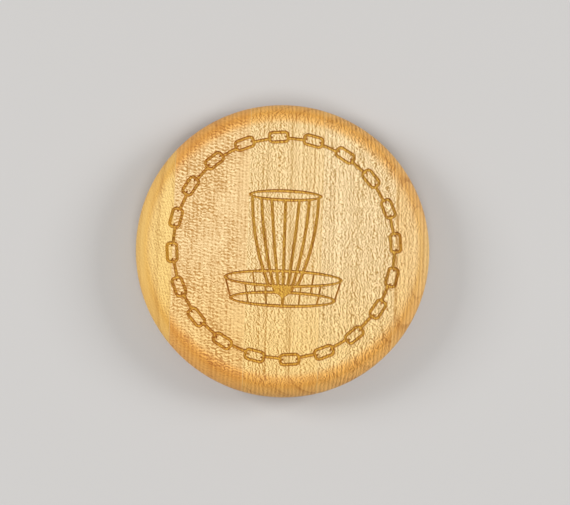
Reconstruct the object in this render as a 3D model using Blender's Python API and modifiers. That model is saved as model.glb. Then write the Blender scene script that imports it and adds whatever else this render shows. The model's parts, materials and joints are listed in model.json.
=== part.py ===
"""Dealer button: a maple disc with a bullnose edge, a chain border and a basket emblem engraved in its face.

The disc is edge-glued from five staves, with a film of glue in each of the four joints. The grain runs
along Y. The origin is the centre of the underside, with +Z up and +Y towards the top of the emblem.
Units are metres. Outlines are worked out in the XY plane and cut down from the top face.
"""

import math

import bmesh
import bpy
from mathutils import Matrix, Vector

OBJECT_NAME = "dealer_button"

# The disc. The edge radius is half the thickness, so the rim is one half-round.
DISC_RADIUS = 0.0381
DISC_THICKNESS = 0.0127
EDGE_RADIUS = DISC_THICKNESS / 2
FACE_RADIUS = DISC_RADIUS - EDGE_RADIUS
RIM_STEPS = 96
EDGE_ARC_STEPS = 6

# The joints between staves stand at whole and a half stave widths from the centre.
STAVE_WIDTH = 0.01905
GLUE_FILM = 0.0001
GLUE_CLEARANCE = 0.00003
JOINTS = {
    "outer_left": -1.5 * STAVE_WIDTH,
    "inner_left": -0.5 * STAVE_WIDTH,
    "inner_right": 0.5 * STAVE_WIDTH,
    "outer_right": 1.5 * STAVE_WIDTH,
}
STAVE_COLOURS = {
    "stave_outer_left": (0.80, 0.59, 0.26),
    "stave_inner_left": (0.76, 0.50, 0.22),
    "stave_centre": (0.83, 0.60, 0.29),
    "stave_inner_right": (0.86, 0.64, 0.32),
    "stave_outer_right": (0.80, 0.56, 0.25),
}
GLUE_COLOUR = (0.55, 0.33, 0.12)
OILED_WOOD_ROUGHNESS = 0.45
GLUE_ROUGHNESS = 0.35

# The engraving's floor lies this far below the top face.
ENGRAVING_DEPTH = 0.0004
CUTTER_HEADROOM = 0.0006

# The chain border: links seen flat, joined by links seen edge-on as bars, whose ends show as dots.
CHAIN_RADIUS = 0.0287
LINK_COUNT = 20
FIRST_LINK_ANGLE = math.radians(4.5)
LINK_LENGTH = 0.0057
LINK_WIDTH = 0.0034
LINK_LINE = 0.0009
LINK_CORNER = 0.00135
CORNER_STEPS = 3
BAR_WIDTH = 0.0009
BAR_LAP = 0.00045
DOT_RADIUS = 0.0003
DOT_OFFSET = 0.0018
DOT_SIDES = 8

# The emblem: a hooped band above, a wire tray below, and chains hanging from the one into the other.
BAND = {"y": 0.01346, "half_width": 0.00907, "half_height": 0.00118, "line": 0.0009}
TRAY_TOP = {"y": -0.00800, "half_width": 0.01485, "half_height": 0.00193, "line": 0.0009}
TRAY_FOOT = {"y": -0.01330, "half_width": 0.01330, "half_height": 0.00175, "line": 0.0009}
HOOP_STEPS = 44
TIP_LINE_RATIO = 1.4
CHAINS_EACH_SIDE = 3
CHAIN_LINE = 0.0009
CHAIN_STEPS = 8
CHAIN_TOP_X = 0.0085
CHAIN_TOP_SPREAD = 0.8
CHAIN_KNEE = (0.0083, 0.0010)
CHAIN_FOOT = (0.0036, -0.0099)
FRONT_WIRES = (math.radians(18), math.radians(41))
BACK_WIRE = math.radians(32)
WIRE_LINE = 0.0005
COLLAR_HALF_WIDTHS = (0.0030, 0.0027, 0.00045)
COLLAR_HEIGHTS = (-0.0099, -0.0110, -0.0129)
POST_FOOT = -0.0151


# --- scene and materials ---


def clear_scene():
    for obj in list(bpy.data.objects):
        bpy.data.objects.remove(obj, do_unlink=True)


def new_collection(name):
    collection = bpy.data.collections.new(name)
    bpy.context.scene.collection.children.link(collection)
    return collection


def new_material(name, colour, roughness):
    material = bpy.data.materials.new(name)
    material.use_nodes = True
    shader = material.node_tree.nodes["Principled BSDF"]
    shader.inputs["Base Color"].default_value = (*colour, 1.0)
    shader.inputs["Roughness"].default_value = roughness
    shader.inputs["Metallic"].default_value = 0.0
    return material


def mark_as_cutter(obj):
    obj.hide_render = True
    obj.display_type = "WIRE"


# --- outlines in the XY plane ---


def placed(outline, centre, angle):
    """The outline turned by angle about the origin, then moved to centre."""
    turn = Matrix.Rotation(angle, 2)
    return [turn @ Vector(point) + Vector(centre) for point in outline]


def link_outline(length, width, corner):
    """A rectangle with rounded corners, its length along X."""
    outline = []
    for quarter, (side_x, side_y) in enumerate(((1, 1), (-1, 1), (-1, -1), (1, -1))):
        centre = Vector((side_x * (length / 2 - corner), side_y * (width / 2 - corner)))
        for step in range(CORNER_STEPS + 1):
            angle = math.pi / 2 * (quarter + step / CORNER_STEPS)
            outline.append(centre + Vector((math.cos(angle), math.sin(angle))) * corner)
    return outline


def ellipse_outline(centre_y, half_width, half_height, steps):
    angles = [2 * math.pi * step / steps for step in range(steps)]
    return [(half_width * math.cos(a), centre_y + half_height * math.sin(a)) for a in angles]


def hoop_outlines(hoop):
    """The outer and inner edge of a hoop's line, which swells at the hoop's tips, where it is seen edge-on."""
    half_line = hoop["line"] / 2
    tip = half_line * TIP_LINE_RATIO
    outer = ellipse_outline(
        hoop["y"], hoop["half_width"] + half_line, hoop["half_height"] + half_line, HOOP_STEPS
    )
    inner = ellipse_outline(
        hoop["y"], hoop["half_width"] - tip, hoop["half_height"] - half_line, HOOP_STEPS
    )
    return [outer, inner]


def hoop_point(hoop, angle, side):
    """The point on a hoop at this angle from its middle: side is 1 for the back, -1 for the front."""
    x = hoop["half_width"] * math.sin(angle)
    return Vector((x, hoop["y"] + side * hoop["half_height"] * math.cos(angle)))


def line_outline(path, width):
    """The outline of a line of constant width along a path of points."""
    left, right = [], []
    for index, point in enumerate(path):
        before = path[max(index - 1, 0)]
        after = path[min(index + 1, len(path) - 1)]
        along = (after - before).normalized()
        across = Vector((-along.y, along.x)) * (width / 2)
        left.append(point + across)
        right.append(point - across)
    return left + right[::-1]


def curved_path(start, knee, end, steps):
    """Points along the quadratic curve that leaves start towards knee and reaches end."""
    path = []
    for step in range(steps + 1):
        t = step / steps
        path.append(start * (1 - t) ** 2 + knee * (2 * t * (1 - t)) + end * t**2)
    return path


# --- engraving cutters ---


def flat_cutter(name, outlines, collection):
    """A closed mesh with these outlines, from the engraving's floor to above the top face."""
    curve = bpy.data.curves.new(name, "CURVE")
    curve.dimensions = "2D"
    curve.fill_mode = "BOTH"
    curve.extrude = (ENGRAVING_DEPTH + CUTTER_HEADROOM) / 2
    for outline in outlines:
        spline = curve.splines.new("POLY")
        spline.points.add(len(outline) - 1)
        for point, place in zip(spline.points, outline):
            point.co = (place[0], place[1], 0.0, 1.0)
        spline.use_cyclic_u = True
    guide = bpy.data.objects.new(name + "_guide", curve)
    guide.location.z = DISC_THICKNESS - ENGRAVING_DEPTH + curve.extrude
    collection.objects.link(guide)
    bpy.context.view_layer.update()

    graph = bpy.context.evaluated_depsgraph_get()
    mesh = bpy.data.meshes.new_from_object(guide.evaluated_get(graph))
    weld_and_face_out(mesh)
    cutter = bpy.data.objects.new(name, mesh)
    cutter.matrix_world = guide.matrix_world
    collection.objects.link(cutter)
    mark_as_cutter(cutter)
    bpy.data.objects.remove(guide, do_unlink=True)


def weld_and_face_out(mesh):
    solid = bmesh.new()
    solid.from_mesh(mesh)
    bmesh.ops.remove_doubles(solid, verts=solid.verts, dist=1e-6)
    bmesh.ops.recalc_face_normals(solid, faces=solid.faces)
    solid.to_mesh(mesh)
    solid.free()


def cut_chain_border(collection):
    """Flat links all round, a bar from each to the next, and the bars' ends as dots inside the links."""
    pitch = 2 * math.pi / LINK_COUNT
    spacing = 2 * CHAIN_RADIUS * math.sin(pitch / 2)
    bar_length = spacing - LINK_LENGTH + 2 * BAR_LAP
    bar_radius = CHAIN_RADIUS * math.cos(pitch / 2)
    link_edges = [
        link_outline(LINK_LENGTH, LINK_WIDTH, LINK_CORNER),
        link_outline(LINK_LENGTH - 2 * LINK_LINE, LINK_WIDTH - 2 * LINK_LINE, LINK_CORNER - LINK_LINE),
    ]
    bar = line_outline([Vector((-bar_length / 2, 0)), Vector((bar_length / 2, 0))], BAR_WIDTH)
    dot = ellipse_outline(0.0, DOT_RADIUS, DOT_RADIUS, DOT_SIDES)

    links, bars, dots = [], [], []
    for index in range(LINK_COUNT):
        angle = FIRST_LINK_ANGLE + index * pitch
        outward = Vector((math.cos(angle), math.sin(angle)))
        along = Vector((-outward.y, outward.x))
        tilt = angle + math.pi / 2
        links += [placed(edge, outward * CHAIN_RADIUS, tilt) for edge in link_edges]
        for end in (-1, 1):
            dots.append(placed(dot, outward * CHAIN_RADIUS + along * (end * DOT_OFFSET), tilt))
        bar_angle = angle + pitch / 2
        bar_centre = Vector((math.cos(bar_angle), math.sin(bar_angle))) * bar_radius
        bars.append(placed(bar, bar_centre, bar_angle + math.pi / 2))
    flat_cutter("chain_links_cutter", links, collection)
    flat_cutter("chain_bars_cutter", bars, collection)
    flat_cutter("chain_dots_cutter", dots, collection)


def cut_hanging_chains(collection):
    """Chains from the front of the band, curving in to the collar. Each is its own cutter, because they meet."""
    for index in range(-CHAINS_EACH_SIDE, CHAINS_EACH_SIDE + 1):
        side = math.copysign(1, index)
        share = abs(index) / CHAINS_EACH_SIDE
        top_x = side * CHAIN_TOP_X * share**CHAIN_TOP_SPREAD
        top_angle = math.asin(top_x / BAND["half_width"])
        start = hoop_point(BAND, top_angle, -1)
        knee = Vector((side * CHAIN_KNEE[0] * share, CHAIN_KNEE[1]))
        end = Vector((side * CHAIN_FOOT[0] * share, CHAIN_FOOT[1]))
        path = curved_path(start, knee, end, CHAIN_STEPS)
        flat_cutter(f"hanging_chain_{index + CHAINS_EACH_SIDE}", [line_outline(path, CHAIN_LINE)], collection)


def cut_tray_wires(collection):
    """The tray's upright wires, from its top hoop to its foot hoop. The outermost two stand at the tips."""
    outlines = []
    for side in (-1, 1):
        for angle in (*FRONT_WIRES, math.pi / 2):
            ends = [hoop_point(hoop, side * angle, -1) for hoop in (TRAY_TOP, TRAY_FOOT)]
            outlines.append(line_outline(ends, WIRE_LINE))
        back_ends = [hoop_point(hoop, side * BACK_WIRE, 1) for hoop in (TRAY_TOP, TRAY_FOOT)]
        outlines.append(line_outline(back_ends, WIRE_LINE))
    flat_cutter("tray_wires_cutter", outlines, collection)


def cut_emblem(collection):
    flat_cutter("band_cutter", hoop_outlines(BAND), collection)
    flat_cutter("tray_top_cutter", hoop_outlines(TRAY_TOP), collection)
    flat_cutter("tray_foot_cutter", hoop_outlines(TRAY_FOOT), collection)
    cut_tray_wires(collection)
    cut_hanging_chains(collection)
    heights = (*COLLAR_HEIGHTS, POST_FOOT)
    half_widths = (*COLLAR_HALF_WIDTHS, COLLAR_HALF_WIDTHS[-1])
    right = list(zip(half_widths, heights))
    left = [(-x, y) for x, y in reversed(right)]
    flat_cutter("collar_cutter", [right + left], collection)


# --- the disc and its pieces ---


def disc_profile():
    """Half the disc's section, from the middle of the top face, down round the edge, to the underside."""
    profile = [(0.0, DISC_THICKNESS)]
    for step in range(2 * EDGE_ARC_STEPS + 1):
        angle = math.pi / 2 * (1 - step / EDGE_ARC_STEPS)
        x = FACE_RADIUS + EDGE_RADIUS * math.cos(angle)
        profile.append((x, EDGE_RADIUS + EDGE_RADIUS * math.sin(angle)))
    profile.append((0.0, 0.0))
    return profile


def disc_mesh(name):
    """The section as a line of edges, for a Screw modifier to turn about Z."""
    profile = disc_profile()
    mesh = bpy.data.meshes.new(name)
    points = [(x, 0.0, z) for x, z in profile]
    edges = [(index, index + 1) for index in range(len(points) - 1)]
    mesh.from_pydata(points, edges, [])
    return mesh


def add_screw(obj):
    screw = obj.modifiers.new("turn", "SCREW")
    screw.axis = "Z"
    screw.angle = 2 * math.pi
    screw.steps = RIM_STEPS
    screw.render_steps = RIM_STEPS
    screw.use_merge_vertices = True
    screw.merge_threshold = 0.00001
    screw.use_smooth_shade = True


def slab(name, low_x, high_x, collection):
    """A box that takes in everything between two planes across X."""
    reach = 1.2 * DISC_RADIUS
    size = Vector((high_x - low_x, 2 * reach, 2 * DISC_THICKNESS))
    centre = Vector(((low_x + high_x) / 2, 0.0, DISC_THICKNESS / 2))
    box = bmesh.new()
    bmesh.ops.create_cube(box, size=1.0, matrix=Matrix.Translation(centre) @ Matrix.Diagonal((*size, 1.0)))
    mesh = bpy.data.meshes.new(name)
    box.to_mesh(mesh)
    box.free()
    obj = bpy.data.objects.new(name, mesh)
    collection.objects.link(obj)
    mark_as_cutter(obj)
    return obj


def disc_slice(name, low_x, high_x, material, parts, slabs, engraving):
    """The part of the engraved disc between two planes across X."""
    obj = bpy.data.objects.new(name, disc_mesh(name))
    obj.data.materials.append(material)
    parts.objects.link(obj)
    add_screw(obj)
    keep = obj.modifiers.new("slice", "BOOLEAN")
    keep.operation = "INTERSECT"
    keep.object = slab(name + "_slab", low_x, high_x, slabs)
    keep.solver = "EXACT"
    engrave = obj.modifiers.new("engraving", "BOOLEAN")
    engrave.operation = "DIFFERENCE"
    engrave.operand_type = "COLLECTION"
    engrave.collection = engraving
    engrave.solver = "EXACT"
    return obj


def build_staves(parts, slabs, engraving):
    margin = GLUE_FILM / 2 + GLUE_CLEARANCE
    beyond = 1.1 * DISC_RADIUS
    planes = [-beyond, *JOINTS.values(), beyond]
    for (name, colour), low, high in zip(STAVE_COLOURS.items(), planes, planes[1:]):
        material = new_material(name, colour, OILED_WOOD_ROUGHNESS)
        disc_slice(name, low + margin, high - margin, material, parts, slabs, engraving)


def build_glue_lines(parts, slabs, engraving):
    glue = new_material("dried_glue", GLUE_COLOUR, GLUE_ROUGHNESS)
    for side, x in JOINTS.items():
        disc_slice(f"glue_line_{side}", x - GLUE_FILM / 2, x + GLUE_FILM / 2, glue, parts, slabs, engraving)


def main():
    clear_scene()
    parts = new_collection(OBJECT_NAME)
    engraving = new_collection("engraving_cutters")
    slabs = new_collection("slab_cutters")
    cut_chain_border(engraving)
    cut_emblem(engraving)
    build_staves(parts, slabs, engraving)
    build_glue_lines(parts, slabs, engraving)


main()
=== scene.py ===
"""The dealer button's looks: five turned and laser-engraved maple staves, with glue in the joints.

Each visible piece stands for the CAD node of the same name. All of them are sliced from one smooth disc: a
glue line where the node's own box starts and ends across X, and a stave up to the glue on each side. Units
are metres, and the wood's patterns are worked out in millimetres.
"""

import json
import math

import bmesh
import bpy
from mathutils import Matrix, Vector

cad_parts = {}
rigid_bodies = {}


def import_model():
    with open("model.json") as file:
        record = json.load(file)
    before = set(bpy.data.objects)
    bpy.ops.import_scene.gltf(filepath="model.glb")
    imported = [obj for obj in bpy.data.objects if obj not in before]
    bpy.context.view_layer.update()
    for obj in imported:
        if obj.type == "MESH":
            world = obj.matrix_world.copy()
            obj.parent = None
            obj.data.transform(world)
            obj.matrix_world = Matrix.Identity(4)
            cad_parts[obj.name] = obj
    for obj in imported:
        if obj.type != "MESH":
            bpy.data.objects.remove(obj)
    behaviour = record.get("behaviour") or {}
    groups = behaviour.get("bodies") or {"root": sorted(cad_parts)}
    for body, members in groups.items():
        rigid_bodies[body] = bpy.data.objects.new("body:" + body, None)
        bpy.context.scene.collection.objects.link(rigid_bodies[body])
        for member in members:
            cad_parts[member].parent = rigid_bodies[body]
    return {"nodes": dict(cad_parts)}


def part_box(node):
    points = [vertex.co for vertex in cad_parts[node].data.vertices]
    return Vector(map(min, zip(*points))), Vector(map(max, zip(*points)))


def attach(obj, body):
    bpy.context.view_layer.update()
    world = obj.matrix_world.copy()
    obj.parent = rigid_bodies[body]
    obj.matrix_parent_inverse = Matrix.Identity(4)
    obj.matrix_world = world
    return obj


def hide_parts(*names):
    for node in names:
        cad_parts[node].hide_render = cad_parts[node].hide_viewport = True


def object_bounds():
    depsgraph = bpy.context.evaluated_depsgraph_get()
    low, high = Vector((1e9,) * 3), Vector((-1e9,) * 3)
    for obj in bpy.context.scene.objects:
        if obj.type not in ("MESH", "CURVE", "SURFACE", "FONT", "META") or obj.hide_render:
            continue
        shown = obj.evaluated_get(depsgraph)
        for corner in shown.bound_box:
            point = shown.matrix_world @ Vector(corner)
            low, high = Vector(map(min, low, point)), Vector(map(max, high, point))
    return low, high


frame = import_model()
CAD_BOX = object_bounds()

LOW, HIGH = (Vector(corner) for corner in CAD_BOX)
DISC_RADIUS = (HIGH.x - LOW.x) / 2
TOP_Z = HIGH.z
EDGE_RADIUS = (HIGH.z - LOW.z) / 2
FACE_RADIUS = DISC_RADIUS - EDGE_RADIUS
RIM_STEPS = 240
EDGE_ARC_STEPS = 18
MERGE_DISTANCE = 0.00001
CUT_TOLERANCE = 0.0000001
STRAIGHT_TOLERANCE = 0.000003

# A face whose normal has a larger part along Z than this is level, and is shaded flat.
LEVEL_NORMAL = 0.99999
SHARP_ANGLE = math.radians(30)

# The air that the CAD leaves on each side of a glue line. Here the staves reach across it to the glue.
GLUE_CLEARANCE = 0.00003

# The engraving. Its walls slope, so each line is narrower at its floor by WALL_RUN on each side.
ENGRAVING_DEPTH = 0.0004
WALL_RUN = 0.0002
CUTTER_HEADROOM = 0.0002

CHAIN_RADIUS = 0.0287
LINK_COUNT = 20
FIRST_LINK_ANGLE = math.radians(4.5)
LINK_LENGTH = 0.0057
LINK_WIDTH = 0.0034
LINK_LINE = 0.0009
LINK_CORNER = 0.00135
CORNER_STEPS = 8
LEAST_CORNER = 0.00005
BAR_WIDTH = 0.0009
BAR_LAP = 0.00045
DOT_RADIUS = 0.0003
DOT_OFFSET = 0.0018
DOT_SIDES = 16

BAND = {"y": 0.01346, "half_width": 0.00907, "half_height": 0.00118, "line": 0.0009}
TRAY_TOP = {"y": -0.00800, "half_width": 0.01485, "half_height": 0.00193, "line": 0.0009}
TRAY_FOOT = {"y": -0.01330, "half_width": 0.01330, "half_height": 0.00175, "line": 0.0009}
HOOP_STEPS = 120
TIP_LINE_RATIO = 1.4
CHAINS_EACH_SIDE = 3
CHAIN_LINE = 0.0009
CHAIN_STEPS = 20
CHAIN_TOP_X = 0.0085
CHAIN_TOP_SPREAD = 0.8
CHAIN_KNEE = (0.0083, 0.0010)
CHAIN_FOOT = (0.0036, -0.0099)
FRONT_WIRES = (math.radians(18), math.radians(41))
BACK_WIRE = math.radians(32)
WIRE_LINE = 0.0005
COLLAR_HALF_WIDTHS = (0.0030, 0.0027, 0.00045)
COLLAR_HEIGHTS = (-0.0099, -0.0110, -0.0129)
POST_FOOT = -0.0151


# --- outlines of the engraving, in the XY plane ---
# grow moves an outline outwards all round, so that one outline serves for a line's floor and its mouth.


def placed(outline, centre, angle):
    turn = Matrix.Rotation(angle, 2)
    return [turn @ Vector(point) + Vector(centre) for point in outline]


def link_outline(length, width, corner, grow):
    """A rectangle with rounded corners, its length along X."""
    radius = max(corner + grow, LEAST_CORNER)
    outline = []
    for quarter, (side_x, side_y) in enumerate(((1, 1), (-1, 1), (-1, -1), (1, -1))):
        centre = Vector((side_x * (length / 2 + grow - radius), side_y * (width / 2 + grow - radius)))
        for step in range(CORNER_STEPS + 1):
            angle = math.pi / 2 * (quarter + step / CORNER_STEPS)
            outline.append(centre + Vector((math.cos(angle), math.sin(angle))) * radius)
    return outline


def round_outline(radius, grow):
    angles = [2 * math.pi * step / DOT_SIDES for step in range(DOT_SIDES)]
    return [((radius + grow) * math.cos(a), (radius + grow) * math.sin(a)) for a in angles]


def line_outline(path, width, grow):
    """A line of constant width along a path of points, with square ends."""
    reach = width / 2 + grow
    left, right = [], []
    for index, point in enumerate(path):
        before = path[max(index - 1, 0)]
        after = path[min(index + 1, len(path) - 1)]
        along = (after - before).normalized()
        end = {0: -grow, len(path) - 1: grow}.get(index, 0.0)
        across = Vector((-along.y, along.x)) * reach
        left.append(point + across + along * end)
        right.append(point - across + along * end)
    return left + right[::-1]


def hoop_outline(hoop, side_reach, tip_reach):
    """An ellipse that stands off a hoop's middle line by these distances, at its sides and at its tips."""
    angles = [2 * math.pi * step / HOOP_STEPS for step in range(HOOP_STEPS)]
    half_width = hoop["half_width"] + tip_reach
    half_height = hoop["half_height"] + side_reach
    return [(half_width * math.cos(a), hoop["y"] + half_height * math.sin(a)) for a in angles]


def hoop_point(hoop, angle, side):
    """The point on a hoop at this angle from its middle: side is 1 for the back, -1 for the front."""
    x = hoop["half_width"] * math.sin(angle)
    return Vector((x, hoop["y"] + side * hoop["half_height"] * math.cos(angle)))


def curved_path(start, knee, end, steps):
    """Points along the quadratic curve that leaves start towards knee and reaches end."""
    path = []
    for step in range(steps + 1):
        t = step / steps
        path.append(start * (1 - t) ** 2 + knee * (2 * t * (1 - t)) + end * t**2)
    return path


def collar_outline(grow):
    """A plain funnel over a post."""
    heights = (*COLLAR_HEIGHTS, POST_FOOT)
    half_widths = (*COLLAR_HALF_WIDTHS, COLLAR_HALF_WIDTHS[-1])
    ends = [grow, 0.0, 0.0, -grow]
    right = [(x + grow, y + end) for x, y, end in zip(half_widths, heights, ends)]
    return right + [(-x, y) for x, y in reversed(right)]


# --- cutters ---


def cutter_levels():
    """The heights of a cutter's two ends, each with how far its outline grows there."""
    rise = WALL_RUN / ENGRAVING_DEPTH
    return ((TOP_Z - ENGRAVING_DEPTH, -WALL_RUN), (TOP_Z + CUTTER_HEADROOM, rise * CUTTER_HEADROOM))


def lofted(name, loops, is_ring, collection):
    """A closed mesh through these loops of points. A ring joins the last loop to the first, and anything
    else is capped at both ends."""
    form = bmesh.new()
    levels = [[form.verts.new(point) for point in loop] for loop in loops]
    following = levels[1:] + levels[:1] if is_ring else levels[1:]
    for level, after in zip(levels, following):
        for index in range(len(level)):
            beside = (index + 1) % len(level)
            form.faces.new((level[index], level[beside], after[beside], after[index]))
    if not is_ring:
        form.faces.new(levels[0])
        form.faces.new(levels[-1])
    bmesh.ops.recalc_face_normals(form, faces=form.faces)
    mesh = bpy.data.meshes.new(name)
    form.to_mesh(mesh)
    form.free()
    obj = bpy.data.objects.new(name, mesh)
    collection.objects.link(obj)
    return obj


def at_height(outline, z):
    return [(place[0], place[1], z) for place in outline]


def pit(name, outline_at, collection):
    """A cutter for a filled shape."""
    loops = [at_height(outline_at(grow), z) for z, grow in cutter_levels()]
    lofted(name, loops, False, collection)


def ring_groove(name, outer_at, inner_at, collection):
    """A cutter for a closed line, between an outer and an inner outline."""
    (floor_z, floor_grow), (mouth_z, mouth_grow) = cutter_levels()
    loops = [
        at_height(outer_at(mouth_grow), mouth_z),
        at_height(outer_at(floor_grow), floor_z),
        at_height(inner_at(-floor_grow), floor_z),
        at_height(inner_at(-mouth_grow), mouth_z),
    ]
    lofted(name, loops, True, collection)


def chain_cutters(collection):
    """Flat links all round, a bar from each to the next, and the bars' ends as dots inside the links."""
    pitch = 2 * math.pi / LINK_COUNT
    bar_length = 2 * CHAIN_RADIUS * math.sin(pitch / 2) - LINK_LENGTH + 2 * BAR_LAP
    bar_path = [Vector((-bar_length / 2, 0)), Vector((bar_length / 2, 0))]
    bar_radius = CHAIN_RADIUS * math.cos(pitch / 2)
    inner_length = LINK_LENGTH - 2 * LINK_LINE
    inner_width = LINK_WIDTH - 2 * LINK_LINE
    inner_corner = LINK_CORNER - LINK_LINE
    for index in range(LINK_COUNT):
        angle = FIRST_LINK_ANGLE + index * pitch
        outward = Vector((math.cos(angle), math.sin(angle)))
        along = Vector((-outward.y, outward.x))
        tilt = angle + math.pi / 2
        centre = outward * CHAIN_RADIUS
        ring_groove(
            f"link_{index}",
            lambda grow: placed(link_outline(LINK_LENGTH, LINK_WIDTH, LINK_CORNER, grow), centre, tilt),
            lambda grow: placed(link_outline(inner_length, inner_width, inner_corner, grow), centre, tilt),
            collection,
        )
        for end in (-1, 1):
            dot_centre = centre + along * (end * DOT_OFFSET)
            pit(
                f"dot_{index}_{end}",
                lambda grow: placed(round_outline(DOT_RADIUS, grow), dot_centre, 0.0),
                collection,
            )
        bar_angle = angle + pitch / 2
        bar_tilt = bar_angle + math.pi / 2
        bar_centre = Vector((math.cos(bar_angle), math.sin(bar_angle))) * bar_radius
        pit(
            f"bar_{index}",
            lambda grow: placed(line_outline(bar_path, BAR_WIDTH, grow), bar_centre, bar_tilt),
            collection,
        )


def hoop_cutter(name, hoop, collection):
    half_line = hoop["line"] / 2
    tip_line = half_line * TIP_LINE_RATIO
    ring_groove(
        name,
        lambda grow: hoop_outline(hoop, half_line + grow, half_line + grow),
        lambda grow: hoop_outline(hoop, grow - half_line, grow - tip_line),
        collection,
    )


def hanging_chain_path(index):
    side = math.copysign(1, index)
    share = abs(index) / CHAINS_EACH_SIDE
    top_x = side * CHAIN_TOP_X * share**CHAIN_TOP_SPREAD
    start = hoop_point(BAND, math.asin(top_x / BAND["half_width"]), -1)
    knee = Vector((side * CHAIN_KNEE[0] * share, CHAIN_KNEE[1]))
    end = Vector((side * CHAIN_FOOT[0] * share, CHAIN_FOOT[1]))
    return curved_path(start, knee, end, CHAIN_STEPS)


def wire_paths():
    """The tray's upright wires, from its top hoop to its foot hoop. The outermost two stand at the tips."""
    paths = []
    for turn in (-1, 1):
        for angle in (*FRONT_WIRES, math.pi / 2):
            paths.append([hoop_point(hoop, turn * angle, -1) for hoop in (TRAY_TOP, TRAY_FOOT)])
        paths.append([hoop_point(hoop, turn * BACK_WIRE, 1) for hoop in (TRAY_TOP, TRAY_FOOT)])
    return paths


def emblem_cutters(collection):
    hoop_cutter("band", BAND, collection)
    hoop_cutter("tray_top", TRAY_TOP, collection)
    hoop_cutter("tray_foot", TRAY_FOOT, collection)
    for index in range(-CHAINS_EACH_SIDE, CHAINS_EACH_SIDE + 1):
        path = hanging_chain_path(index)
        pit(f"hanging_chain_{index}", lambda grow: line_outline(path, CHAIN_LINE, grow), collection)
    for number, path in enumerate(wire_paths()):
        pit(f"wire_{number}", lambda grow: line_outline(path, WIRE_LINE, grow), collection)
    pit("collar", collar_outline, collection)


# --- the engraved disc, and its slices ---


def disc_blank():
    """The plain disc: half its section, from the top face's middle to the underside's, turned about Z."""
    points = [(0.0, 0.0, TOP_Z)]
    for step in range(2 * EDGE_ARC_STEPS + 1):
        angle = math.pi / 2 * (1 - step / EDGE_ARC_STEPS)
        x = FACE_RADIUS + EDGE_RADIUS * math.cos(angle)
        points.append((x, 0.0, LOW.z + EDGE_RADIUS + EDGE_RADIUS * math.sin(angle)))
    points.append((0.0, 0.0, LOW.z))
    mesh = bpy.data.meshes.new("blank")
    mesh.from_pydata(points, [(index, index + 1) for index in range(len(points) - 1)], [])
    obj = bpy.data.objects.new("blank", mesh)
    bpy.context.scene.collection.objects.link(obj)
    screw = obj.modifiers.new("turn", "SCREW")
    screw.axis = "Z"
    screw.steps = screw.render_steps = RIM_STEPS
    screw.use_merge_vertices = True
    screw.merge_threshold = MERGE_DISTANCE
    return obj


def evaluated_mesh(obj):
    bpy.context.view_layer.update()
    graph = bpy.context.evaluated_depsgraph_get()
    return bpy.data.meshes.new_from_object(obj.evaluated_get(graph))


def engraved_disc():
    """The whole disc as one mesh, with the engraving cut into its top face."""
    cutters = bpy.data.collections.new("cutters")
    bpy.context.scene.collection.children.link(cutters)
    chain_cutters(cutters)
    emblem_cutters(cutters)
    blank = disc_blank()
    engrave = blank.modifiers.new("engraving", "BOOLEAN")
    engrave.operation = "DIFFERENCE"
    engrave.operand_type = "COLLECTION"
    engrave.collection = cutters
    engrave.solver = "EXACT"
    mesh = evaluated_mesh(blank)
    for obj in [blank, *cutters.objects]:
        bpy.data.objects.remove(obj, do_unlink=True)
    bpy.data.collections.remove(cutters)
    return mesh


def keep_one_side(form, x, outward):
    """Cuts the form at a plane across X, drops what lies outward of it, and closes the cut."""
    geometry = form.verts[:] + form.edges[:] + form.faces[:]
    cut = bmesh.ops.bisect_plane(
        form,
        geom=geometry,
        dist=CUT_TOLERANCE,
        plane_co=(x, 0, 0),
        plane_no=(outward, 0, 0),
        clear_outer=True,
    )
    edges = [item for item in cut["geom_cut"] if isinstance(item, bmesh.types.BMEdge)]
    if edges:
        bmesh.ops.edgeloop_fill(form, edges=edges)


def drop_spare_vertices(form):
    """Takes out the vertices that only divide an edge: each has two edges, and lies on the line between its
    neighbours."""
    spare = []
    for vert in form.verts:
        if len(vert.link_edges) == 2:
            first, last = (edge.other_vert(vert).co for edge in vert.link_edges)
            along = (last - first).normalized()
            if (vert.co - first).cross(along).length < STRAIGHT_TOLERANCE:
                spare.append(vert)
    bmesh.ops.dissolve_verts(form, verts=spare)


def slice_of(disc, node):
    """The engraved disc between the planes where the CAD node starts and ends across X. A stave reaches a
    little further, to the glue beside it."""
    low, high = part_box(node)
    closing = 0.0 if node.startswith("glue_line") else GLUE_CLEARANCE
    form = bmesh.new()
    form.from_mesh(disc)
    keep_one_side(form, low[0] - closing, -1)
    keep_one_side(form, high[0] + closing, 1)
    drop_spare_vertices(form)
    bmesh.ops.recalc_face_normals(form, faces=form.faces)
    for face in form.faces:
        face.smooth = abs(face.normal.z) < LEVEL_NORMAL
    name = "visual_" + node
    mesh = bpy.data.meshes.new(name)
    form.to_mesh(mesh)
    form.free()
    mesh.set_sharp_from_angle(angle=SHARP_ANGLE)
    obj = bpy.data.objects.new(name, mesh)
    bpy.context.scene.collection.objects.link(obj)
    return obj


# --- shader arithmetic ---

MM = 1000.0

# The way a noise's seed moves it, so that it moves differently along X, Y and Z.
SHIFT = (1.0, 1.7, 0.6)


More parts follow.
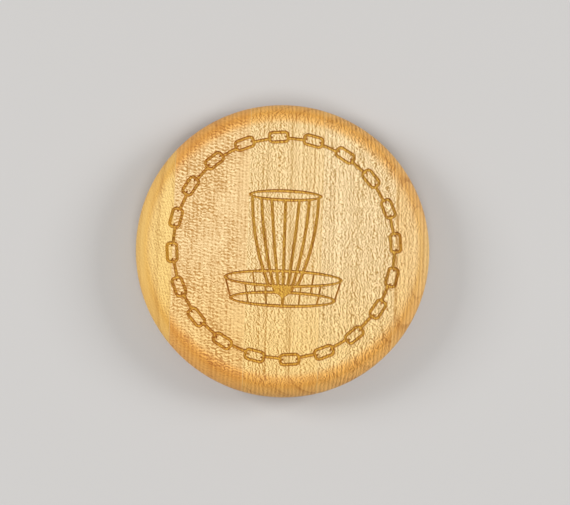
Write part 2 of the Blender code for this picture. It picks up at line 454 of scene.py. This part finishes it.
class Field:
    """A value that varies over a surface: a shader node's output. Arithmetic on it adds Math nodes."""

    def __init__(self, tree, socket):
        self.tree = tree
        self.socket = socket

    def math(self, operation, *others):
        node = self.tree.nodes.new("ShaderNodeMath")
        node.operation = operation
        for socket, value in zip(node.inputs, (self, *others)):
            connect(self.tree, value, socket)
        return Field(self.tree, node.outputs[0])

    def __add__(self, other):
        return self.math("ADD", other)

    def __sub__(self, other):
        return self.math("SUBTRACT", other)

    def __mul__(self, other):
        return self.math("MULTIPLY", other)

    def __truediv__(self, other):
        return self.math("DIVIDE", other)

    def __pow__(self, other):
        return self.math("POWER", other)

    def inverted(self):
        return self.math("MULTIPLY_ADD", -1.0, 1.0)

    def ramp(self, low, high):
        """0 below low, 1 above high, and a smooth step between. If low is the larger, it is turned over."""
        node = self.tree.nodes.new("ShaderNodeMapRange")
        node.interpolation_type = "SMOOTHSTEP"
        turned = low > high
        connect(self.tree, self, node.inputs["Value"])
        node.inputs["From Min"].default_value = min(low, high)
        node.inputs["From Max"].default_value = max(low, high)
        node.inputs["To Min"].default_value = 1.0 if turned else 0.0
        node.inputs["To Max"].default_value = 0.0 if turned else 1.0
        return Field(self.tree, node.outputs["Result"])


def connect(tree, value, socket):
    if isinstance(value, Field):
        tree.links.new(value.socket, socket)
    else:
        socket.default_value = value


class Surface:
    """One material, and the fields that its patterns are made from."""

    def __init__(self, name):
        self.material = bpy.data.materials.new(name)
        self.material.use_nodes = True
        self.tree = self.material.node_tree
        self.shader = self.tree.nodes["Principled BSDF"]
        coordinates = self.tree.nodes.new("ShaderNodeTexCoord")
        self.place = self.vector_math("SCALE", Field(self.tree, coordinates.outputs["Object"]), scale=MM)
        normal = Field(self.tree, coordinates.outputs["Normal"])
        self.x, self.y, self.z = self.parts(self.place)
        _, self.facing_y, self.facing_z = self.parts(normal)

    def vector_math(self, operation, *vectors, scale=None):
        node = self.tree.nodes.new("ShaderNodeVectorMath")
        node.operation = operation
        for socket, value in zip(node.inputs, vectors):
            connect(self.tree, value, socket)
        if scale is not None:
            node.inputs["Scale"].default_value = scale
        return Field(self.tree, node.outputs[0])

    def parts(self, vector):
        node = self.tree.nodes.new("ShaderNodeSeparateXYZ")
        connect(self.tree, vector, node.inputs[0])
        return [Field(self.tree, output) for output in node.outputs]

    def vector(self, x, y, z):
        node = self.tree.nodes.new("ShaderNodeCombineXYZ")
        for socket, value in zip(node.inputs, (x, y, z)):
            connect(self.tree, value, socket)
        return Field(self.tree, node.outputs[0])

    def noise(self, stretch, shift=0.0, detail=2.0, roughness=0.5, place=None):
        """Noise from 0 to 1, with this many features a millimetre along X, Y and Z."""
        stretched = self.vector_math("MULTIPLY", place or self.place, stretch)
        moved = self.vector_math("ADD", stretched, [shift * part for part in SHIFT])
        node = self.tree.nodes.new("ShaderNodeTexNoise")
        node.inputs["Scale"].default_value = 1.0
        node.inputs["Detail"].default_value = detail
        node.inputs["Roughness"].default_value = roughness
        connect(self.tree, moved, node.inputs["Vector"])
        return Field(self.tree, node.outputs["Fac"])

    def mix(self, share, first, second, blend="MIX"):
        """Two colours mixed. A Mix node's colours go in at sockets 6 and 7, and come out at 2."""
        node = self.tree.nodes.new("ShaderNodeMix")
        node.data_type = "RGBA"
        node.blend_type = blend
        connect(self.tree, share, node.inputs["Factor"])
        connect(self.tree, first, node.inputs[6])
        connect(self.tree, second, node.inputs[7])
        return Field(self.tree, node.outputs[2])

    def tinted(self, share, colour, tint):
        """The colour multiplied by a tint, by this share."""
        return self.mix(share, colour, self.mix(1.0, colour, tint, "MULTIPLY"))

    def level(self, low, high):
        """A ramp by how level the surface is: by its normal's part along Z, whether up or down."""
        return self.facing_z.math("ABSOLUTE").ramp(low, high)

    def bump(self, height, distance):
        node = self.tree.nodes.new("ShaderNodeBump")
        node.inputs["Distance"].default_value = distance
        connect(self.tree, height, node.inputs["Height"])
        return Field(self.tree, node.outputs["Normal"])

    def set(self, **values):
        names = {"colour": "Base Color", "coat": "Coat Weight", "coat_roughness": "Coat Roughness"}
        for name, value in values.items():
            connect(self.tree, value, self.shader.inputs[names.get(name, name.capitalize())])


def screen_colour(red, green, blue):
    """A colour given as it looks on a screen, by sRGB's curve, as the linear colour that shaders use."""
    linear = [c / 12.92 if c <= 0.04045 else ((c + 0.055) / 1.055) ** 2.4 for c in (red, green, blue)]
    return (*linear, 1.0)


# --- wood ---

# Each stave is sawn from its own board. Its values are:
# - slot and seed: its material's name, and the place that its noises are taken from, which sets its figure.
# - pith: where the tree's middle lay, in millimetres across (X) and up (Z) from the disc's centre. Far
#   below gives flat-sawn wood, and far to the side quarter-sawn wood.
# - ring: the mean width of a year's growth, in millimetres.
# - dark, light and middle: the tone's two ends as they look on a screen, and where between them the plain
#   wood lies, from 0 to 1.
# - curl: how far the rows of dashes ripple from side to side, in rows.
# - streak, line, dash, band, ring_line and fleck: how strongly each pattern moves the tone.
# - sapwood: the X in millimetres where the paler wood starts, that where it is palest, and how much paler.
# - end_grain: the share of END_GRAIN_TINT that it takes where the rim cuts across the grain.
NO_SAPWOOD = (0.0, 1.0, 0.0)
BOARDS = {
    "stave_outer_left": {
        "slot": "maple_yellow",
        "seed": 3.1,
        "pith": (-150.0, -20.0),
        "ring": 4.3,
        "dark": (0.73, 0.55, 0.26),
        "light": (0.965, 0.83, 0.52),
        "middle": 0.68,
        "streak": 0.5,
        "curl": 0.8,
        "line": 0.0,
        "dash": 0.22,
        "band": 0.15,
        "ring_line": 0.3,
        "fleck": 0.2,
        "sapwood": NO_SAPWOOD,
        "end_grain": 0.3,
    },
    "stave_inner_left": {
        "slot": "maple_quartersawn",
        "seed": 11.7,
        "pith": (120.0, 10.0),
        "ring": 6.5,
        "dark": (0.71, 0.51, 0.22),
        "light": (0.98, 0.86, 0.64),
        "middle": 0.56,
        "streak": 0.35,
        "curl": 1.6,
        "line": 0.11,
        "dash": 0.12,
        "band": 0.2,
        "ring_line": 0.15,
        "fleck": 0.5,
        "sapwood": (-13.8, -11.6, 0.05),
        "end_grain": 1.0,
    },
    "stave_centre": {
        "slot": "maple_straight",
        "seed": 23.9,
        "pith": (-38.0, -52.0),
        "ring": 3.4,
        "dark": (0.69, 0.50, 0.17),
        "light": (0.955, 0.85, 0.64),
        "middle": 0.66,
        "streak": 0.6,
        "curl": 1.75,
        "line": 0.17,
        "dash": 0.62,
        "band": 0.15,
        "ring_line": 0.3,
        "fleck": 0.0,
        "sapwood": NO_SAPWOOD,
        "end_grain": 1.0,
    },
    "stave_inner_right": {
        "slot": "maple_pale",
        "seed": 31.3,
        "pith": (-30.0, -60.0),
        "ring": 4.8,
        "dark": (0.65, 0.47, 0.14),
        "light": (0.96, 0.86, 0.67),
        "middle": 0.63,
        "streak": 0.6,
        "curl": 1.85,
        "line": 0.21,
        "dash": 0.92,
        "band": 0.15,
        "ring_line": 0.3,
        "fleck": 0.0,
        "sapwood": (18.0, 14.5, 0.12),
        "end_grain": 1.0,
    },
    "stave_outer_right": {
        "slot": "maple_tan",
        "seed": 47.9,
        "pith": (-25.0, -45.0),
        "ring": 3.0,
        "dark": (0.68, 0.49, 0.20),
        "light": (0.95, 0.82, 0.58),
        "middle": 0.64,
        "streak": 0.7,
        "curl": 1.85,
        "line": 0.19,
        "dash": 0.76,
        "band": 0.2,
        "ring_line": 0.35,
        "fleck": 0.0,
        "sapwood": NO_SAPWOOD,
        "end_grain": 0.6,
    },
}

# From here on, three numbers for a noise are its features a millimetre along X, Y and Z, and three numbers
# for rows are their count a millimetre along X, Y and Z. The grain runs along Y.

RING_WANDER = (0.03, 0.008, 0.03)
RING_WANDER_REACH = 3.0
BAND_STRETCH = 0.35
YEAR_UNEVENNESS = 1.5
# A year's growth darkens gently towards its end, and sharply in its last line, the latewood.
LATEWOOD_SHARPNESS = 14.0
SHADE_SHARPNESS = 3.0
SHADE_SHARE = 0.25


def growth_rings(surface, board):
    """(lines, bands): thin latewood lines round the pith, and broad changes of tone from year to year."""
    pith_x, pith_z = board["pith"]
    wander = surface.noise(RING_WANDER, board["seed"], detail=1.0) - 0.5
    across = surface.x - pith_x
    up = surface.z - pith_z
    distance = (across * across + up * up).math("SQRT") + wander * RING_WANDER_REACH
    years = surface.vector(distance * BAND_STRETCH, 0.0, 0.0)
    tone = surface.noise((1.0, 1.0, 1.0), board["seed"], detail=3.0, place=years)
    year = (distance / board["ring"] + tone * YEAR_UNEVENNESS).math("FRACT")
    return year**LATEWOOD_SHARPNESS + year**SHADE_SHARPNESS * SHADE_SHARE, tone


def rows(phase):
    """Rows of light and dark, from 1 to -1 and back for each whole step of phase."""
    return (phase * (2 * math.pi)).math("COSINE")


def leaning(surface, steps):
    """A phase that grows by these steps a millimetre along X, Y and Z."""
    along_x, along_y, along_z = steps
    return surface.y * along_y + surface.x * along_x + surface.z * along_z


def off_rim(surface, levels):
    """1 on the face and the underside, falling to RIM_SHARE round the rim."""
    return surface.level(*levels) * (1 - RIM_SHARE) + RIM_SHARE


STREAKS = (1.3, 0.03, 0.3)
LINE_ROWS = (0.97, 0.0, 0.0)
LINE_BEND = (0.35, 0.015, 0.2)
# How far the dashes bend, in rows, and the share of that by which the straight lines bend.
DASH_BEND_REACH = 1.5
LINE_BEND_SHARE = 0.5
WEAVE = (0.7, 1.7, 0.4)
COARSE_ROWS = (0.97, 0.2, 0.0)
COARSE_PATCHES = (0.9, 1.9, 0.6)
FINE_ROWS = (1.5, 0.5, 0.0)
FINE_PATCHES = (1.1, 1.9, 0.6)
FINE_COUNTERWEAVE = 1.2
FINE_STRENGTH = 1.6
DASH_PATCH_EDGES = (0.35, 0.65)
DASH_LEVELS = (0.7, 0.99)
# The share of the dashes and flecks that is left round the rim.
RIM_SHARE = 0.25


def wood_grain(surface, board):
    """(streaks, lines, dashes): soft long streaks, straight lines along the grain about 1 mm apart, and
    the short light and dark dashes of fibres that dip in and out of the surface. These fade at the rim."""
    seed = board["seed"]
    streaks = surface.noise(STREAKS, seed, detail=2.0, roughness=0.6)
    bend = surface.noise(LINE_BEND, seed + 1.0, detail=1.0) * DASH_BEND_REACH
    lines = rows(leaning(surface, LINE_ROWS) + bend * LINE_BEND_SHARE)
    weave = (surface.noise(WEAVE, seed + 5.0, detail=0.0) - 0.5) * board["curl"]
    coarse = rows(leaning(surface, COARSE_ROWS) + bend + weave)
    coarse = coarse * surface.noise(COARSE_PATCHES, seed + 7.0, detail=0.0).ramp(*DASH_PATCH_EDGES)
    fine = rows(leaning(surface, FINE_ROWS) + bend - weave * FINE_COUNTERWEAVE)
    fine = fine * surface.noise(FINE_PATCHES, seed + 9.0, detail=0.0).ramp(*DASH_PATCH_EDGES)
    dashes = (coarse + fine * FINE_STRENGTH) * off_rim(surface, DASH_LEVELS)
    return streaks, lines, dashes


FLECK_BEND = (0.9, 0.5, 0.5)
FLECK_BEND_REACH = 1.8
BROAD_FLECKS = (0.45, 0.68, 0.4)
BROAD_PATCHES = (0.9, 1.0, 0.7)
BROAD_PATCH_EDGES = (0.3, 0.7)
BROAD_STRENGTH = 0.7
NARROW_FLECKS = (0.15, 1.25, 0.5)
NARROW_PATCHES = (1.2, 1.3, 1.0)
NARROW_PATCH_EDGES = (0.3, 0.65)
NARROW_COUNTERBEND = 1.2
NARROW_STRENGTH = 1.2
THREADS = (1.5, 0.2, 0.5)
THREAD_STRENGTH = 1.8
DRIFTS = (0.14, 0.10, 0.14)
DRIFT_EDGES = (0.3, 0.65)
# The flecks' strength outside the drifts, what a drift adds to it, and how much darker a drift is.
FLECK_LEAST = 0.5
DRIFT_GAIN = 0.6
DRIFT_SHADE = 0.35


def ray_flecks(surface, board):
    """The flecks of a quarter-sawn face: short brown strokes that lie nearly across the grain, crossed by
    thin threads along it, and stronger in drifts."""
    seed = board["seed"]
    bend = surface.noise(FLECK_BEND, seed + 2.0, detail=1.0) * FLECK_BEND_REACH
    broad = rows(leaning(surface, BROAD_FLECKS) + bend)
    narrow = rows(leaning(surface, NARROW_FLECKS) - bend * NARROW_COUNTERBEND)
    broad = broad * surface.noise(BROAD_PATCHES, seed + 3.0, detail=0.0).ramp(*BROAD_PATCH_EDGES)
    narrow = narrow * surface.noise(NARROW_PATCHES, seed + 4.0, detail=0.0).ramp(*NARROW_PATCH_EDGES)
    threads = surface.noise(THREADS, seed + 8.0, detail=1.0) - 0.5
    flecks = broad * BROAD_STRENGTH + narrow * NARROW_STRENGTH + threads * THREAD_STRENGTH
    drifts = surface.noise(DRIFTS, seed + 6.0, detail=2.0).ramp(*DRIFT_EDGES)
    return flecks * (drifts * DRIFT_GAIN + FLECK_LEAST) + drifts * DRIFT_SHADE


# How deep a point lies, in millimetres, where the engraving's colour starts and where it is full.
BURN_DEPTHS = (0.02, 0.12)
# The colour stops this far inside the edge of the flat face, and this far down from it.
BURN_MARGIN = 0.0004
BURN_REACH = ENGRAVING_DEPTH * 1.5


def burn(surface):
    """1 in the engraving, and 0 on the plain face, round the edge and on the underside."""
    depth = (surface.z * -1.0 + TOP_Z * MM).math("MAXIMUM", 0.0)
    distance = (surface.x * surface.x + surface.y * surface.y).math("SQRT")
    inside = distance.math("LESS_THAN", (FACE_RADIUS - BURN_MARGIN) * MM)
    above = surface.z.math("GREATER_THAN", (TOP_Z - BURN_REACH) * MM)
    return (depth * inside * above).ramp(*BURN_DEPTHS)


# A tint multiplies the wood's colour. The pair under it says where it starts and where it is full. Levels
# go by the normal's part along Z.
# Painted shade: the rim is darker and more orange where it curves away from the flat face; some of it is
# the wood's own deeper colour at the rounded edge.
RIM_SHADE_TINT = screen_colour(0.945, 0.875, 0.665)
RIM_SHADE_LEVELS = (0.999, 0.80)
# The rim's painted shade eases again where the rim is steepest.
STEEP_RIM_SHADE_LEVELS = (0.88, 0.62)
STEEP_RIM_SHADE_EASE = 0.45
# Where the rim cuts across the grain. This pair goes by the normal's part along Y.
END_GRAIN_TINT = screen_colour(0.995, 0.89, 0.69)
END_GRAIN_FACING = (0.02, 0.34)
# Towards the front of the face.
AMBER_TINT = screen_colour(1.0, 0.97, 0.85)
AMBER_Y = (5.0, -32.0)
AMBER_LEVELS = (0.7, 0.98)
# On the engraving's floor and walls. A wall takes the first share of its tint, and more by the second where
# it cuts across the grain. The third is painted shade: it is added where a wall faces the front, and taken
# away where it faces the back.
FLOOR_TINT = screen_colour(0.905, 0.815, 0.46)
WALL_TINT = screen_colour(0.70, 0.58, 0.08)
WALL_LEVELS = (0.97, 0.85)
WALL_LEAST, WALL_ACROSS, WALL_FRONT_SHADE = 0.2, 0.6, 0.12
# The fine ridges that the laser's passes leave on the floor.
RASTER = (0.4, 7.0, 1.0)
RASTER_SHARE = 0.15

# How much fainter the dashes and flecks are in the sapwood, and the flecks along the straight lines.
SAPWOOD_CALM = 0.35
LINE_CALM = 0.15
FLECK_LEVELS = (0.75, 0.99)

ROUGHNESS = 0.54
STREAK_ROUGHNESS = 0.12
BURNT_ROUGHNESS = 0.3
COAT = 0.04
COAT_ROUGHNESS = 0.35

# The height of the bump in metres, and each pattern's share in it next to the streaks.
WOOD_RELIEF = 0.00004
LINE_RELIEF, DASH_RELIEF, FLECK_RELIEF, RASTER_RELIEF = 0.15, 0.3, 0.3, 1.5


def maple(name, board):
    """One board's wood: its rings and grain, its rim darkened by painted shade and by some deeper colour of
    its own, and the engraving's burnt floor and walls, with painted shade on the walls that face the front.
    """
    surface = Surface(name)
    ring_lines, bands = growth_rings(surface, board)
    streaks, lines, dashes = wood_grain(surface, board)
    tone = (streaks - 0.5) * board["streak"] + (bands - 0.5) * board["band"]
    tone = tone - ring_lines * board["ring_line"]
    start, full, gain = board["sapwood"]
    pale = surface.x.ramp(start, full)
    calm = pale * -SAPWOOD_CALM + 1.0
    tone = tone + lines * board["line"] + dashes * board["dash"] * calm
    tone = tone + pale * gain + board["middle"]
    relief = streaks + lines * LINE_RELIEF + dashes * DASH_RELIEF
    if board["fleck"]:
        flecks = ray_flecks(surface, board) * (lines * -LINE_CALM + 1.0)
        flecks = flecks * calm * off_rim(surface, FLECK_LEVELS)
        tone = tone - flecks * board["fleck"]
        relief = relief - flecks * FLECK_RELIEF
    tone = tone.math("MAXIMUM", 0.0).math("MINIMUM", 1.0)
    colour = surface.mix(tone, screen_colour(*board["dark"]), screen_colour(*board["light"]))
    # Painted shade round the rim, with some of the wood's own deeper colour, eased where the rim is
    # steepest.
    rim = surface.level(*RIM_SHADE_LEVELS) * (surface.level(*STEEP_RIM_SHADE_LEVELS) * -STEEP_RIM_SHADE_EASE + 1.0)
    colour = surface.tinted(rim, colour, RIM_SHADE_TINT)
    across_grain = surface.facing_y.math("ABSOLUTE")
    end_grain = across_grain.ramp(*END_GRAIN_FACING) * board["end_grain"]
    colour = surface.tinted(end_grain, colour, END_GRAIN_TINT)
    amber = surface.y.ramp(*AMBER_Y) * surface.facing_z.ramp(*AMBER_LEVELS)
    colour = surface.tinted(amber, colour, AMBER_TINT)

    engraved = burn(surface)
    # The walls' burnt colour, with painted shade that makes the walls facing the front darker and those
    # facing the back lighter.
    wall_burn_and_shade = across_grain * WALL_ACROSS - surface.facing_y * WALL_FRONT_SHADE + WALL_LEAST
    wall = surface.facing_z.ramp(*WALL_LEVELS) * wall_burn_and_shade
    raster = surface.noise(RASTER, board["seed"] + 20.0, detail=2.0)
    floor = surface.tinted(1.0, colour, FLOOR_TINT)
    burnt = surface.tinted(wall * (1 - RASTER_SHARE) + raster * RASTER_SHARE, floor, WALL_TINT)
    colour = surface.mix(engraved, colour, burnt)

    surface.set(
        colour=colour,
        roughness=streaks * STREAK_ROUGHNESS + ROUGHNESS + engraved * BURNT_ROUGHNESS,
        coat=engraved.inverted() * COAT,
        coat_roughness=COAT_ROUGHNESS,
        normal=surface.bump(relief + engraved * raster * RASTER_RELIEF, WOOD_RELIEF),
    )
    return surface.material


GLUE_CLOUD = (1.5, 0.4, 1.5)
GLUE_SEED = 2.0
GLUE_PALE = screen_colour(0.88, 0.74, 0.49)
GLUE_BROWN = screen_colour(0.82, 0.67, 0.41)
GLUE_ROUGHNESS = 0.35
CLOUD_ROUGHNESS = 0.2
GLUE_RELIEF = 0.00002


def dried_glue():
    """Amber glue, a little cloudy, and burnt where the engraving crosses a joint."""
    surface = Surface("dried_glue")
    cloud = surface.noise(GLUE_CLOUD, GLUE_SEED, detail=3.0)
    colour = surface.mix(cloud, GLUE_PALE, GLUE_BROWN)
    surface.set(
        colour=surface.tinted(burn(surface), colour, WALL_TINT),
        roughness=cloud * CLOUD_ROUGHNESS + GLUE_ROUGHNESS,
        normal=surface.bump(cloud, GLUE_RELIEF),
    )
    return surface.material


# --- the pieces ---


def add_pieces():
    disc = engraved_disc()
    for node, board in BOARDS.items():
        stave = slice_of(disc, node)
        stave.data.materials.append(maple(board["slot"], board))
        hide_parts(node)
        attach(stave, "root")
    glue = dried_glue()
    for node in frame["nodes"]:
        if node.startswith("glue_line"):
            film = slice_of(disc, node)
            film.data.materials.append(glue)
            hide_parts(node)
            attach(film, "root")


# --- floor, lights and camera ---

VIEW_AZIMUTH = math.radians(-22)
VIEW_ELEVATION = math.radians(83.1)
VIEW_ROLL = math.radians(1.8)
VIEW_DISTANCE = 0.5
FRAME_WIDTH = 0.1479
AIM = Vector((0.00054, -0.00056, EDGE_RADIUS))
FLOOR_HALF_SIZE = 3.0
FLOOR_GAP = 0.00002
FLOOR_COLOUR = (0.52, 0.51, 0.50, 1.0)
FLOOR_ROUGHNESS = 0.85

# Each softbox's azimuth and elevation in degrees, and its power in watts. Azimuth 0 is over +X, and 90
# degrees over +Y.
SOFTBOXES = {
    "softbox_right": (13, 33, 5.4),
    "softbox_left": (167, 33, 5.4),
    "softbox_above": (-90, 67, 3.5),
}
SOFTBOX_DISTANCE = 1.0
SOFTBOX_SIZE = 0.4

# The room lights the disc at the first strength, and the camera sees it brighter by the second.
ROOM_COLOUR = (0.80, 0.79, 0.78, 1.0)
ROOM_STRENGTH = 0.42
ROOM_SEEN_GAIN = 0.38


def add_floor():
    mesh = bpy.data.meshes.new("floor")
    form = bmesh.new()
    bmesh.ops.create_grid(form, x_segments=1, y_segments=1, size=FLOOR_HALF_SIZE)
    form.to_mesh(mesh)
    form.free()
    floor = bpy.data.objects.new("floor", mesh)
    floor.location.z = LOW.z - FLOOR_GAP
    bpy.context.scene.collection.objects.link(floor)
    surface = Surface("pale_floor")
    surface.set(colour=FLOOR_COLOUR, roughness=FLOOR_ROUGHNESS)
    mesh.materials.append(surface.material)


def add_softbox(name, azimuth, elevation, power):
    """A square softbox that faces the disc."""
    light = bpy.data.lights.new(name, "AREA")
    light.shape = "SQUARE"
    light.size = SOFTBOX_SIZE
    light.energy = power
    lamp = bpy.data.objects.new(name, light)
    a, e = math.radians(azimuth), math.radians(elevation)
    direction = Vector((math.cos(a) * math.cos(e), math.sin(a) * math.cos(e), math.sin(e)))
    lamp.location = direction * SOFTBOX_DISTANCE
    lamp.rotation_euler = direction.to_track_quat("Z", "Y").to_euler()
    bpy.context.scene.collection.objects.link(lamp)


def add_lights():
    """Two low softboxes, right and left, a high one towards the front, and a pale room."""
    for name, (azimuth, elevation, power) in SOFTBOXES.items():
        add_softbox(name, azimuth, elevation, power)
    world = bpy.data.worlds.new("studio")
    world.use_nodes = True
    tree = world.node_tree
    background = tree.nodes["Background"]
    background.inputs["Color"].default_value = ROOM_COLOUR
    ray = tree.nodes.new("ShaderNodeLightPath")
    seen = Field(tree, ray.outputs["Is Camera Ray"])
    connect(tree, seen * ROOM_SEEN_GAIN + ROOM_STRENGTH, background.inputs["Strength"])
    bpy.context.scene.world = world
    bpy.context.scene.view_settings.view_transform = "Standard"


def add_camera():
    """Nearly straight down, from a little towards the front left."""
    back = Vector(
        (
            math.sin(VIEW_AZIMUTH) * math.cos(VIEW_ELEVATION),
            -math.cos(VIEW_AZIMUTH) * math.cos(VIEW_ELEVATION),
            math.sin(VIEW_ELEVATION),
        )
    )
    grain = Vector((0, 1, 0))
    up = (grain - back * grain.dot(back)).normalized()
    up.rotate(Matrix.Rotation(VIEW_ROLL, 3, back))
    right = up.cross(back)
    data = bpy.data.cameras.new("camera")
    data.lens = data.sensor_width * VIEW_DISTANCE / FRAME_WIDTH
    camera = bpy.data.objects.new("camera", data)
    pose = Matrix((right, up, back)).transposed().to_4x4()
    pose.translation = AIM + back * VIEW_DISTANCE
    camera.matrix_world = pose
    bpy.context.scene.collection.objects.link(camera)
    bpy.context.scene.camera = camera


add_pieces()
add_floor()
add_lights()
add_camera()
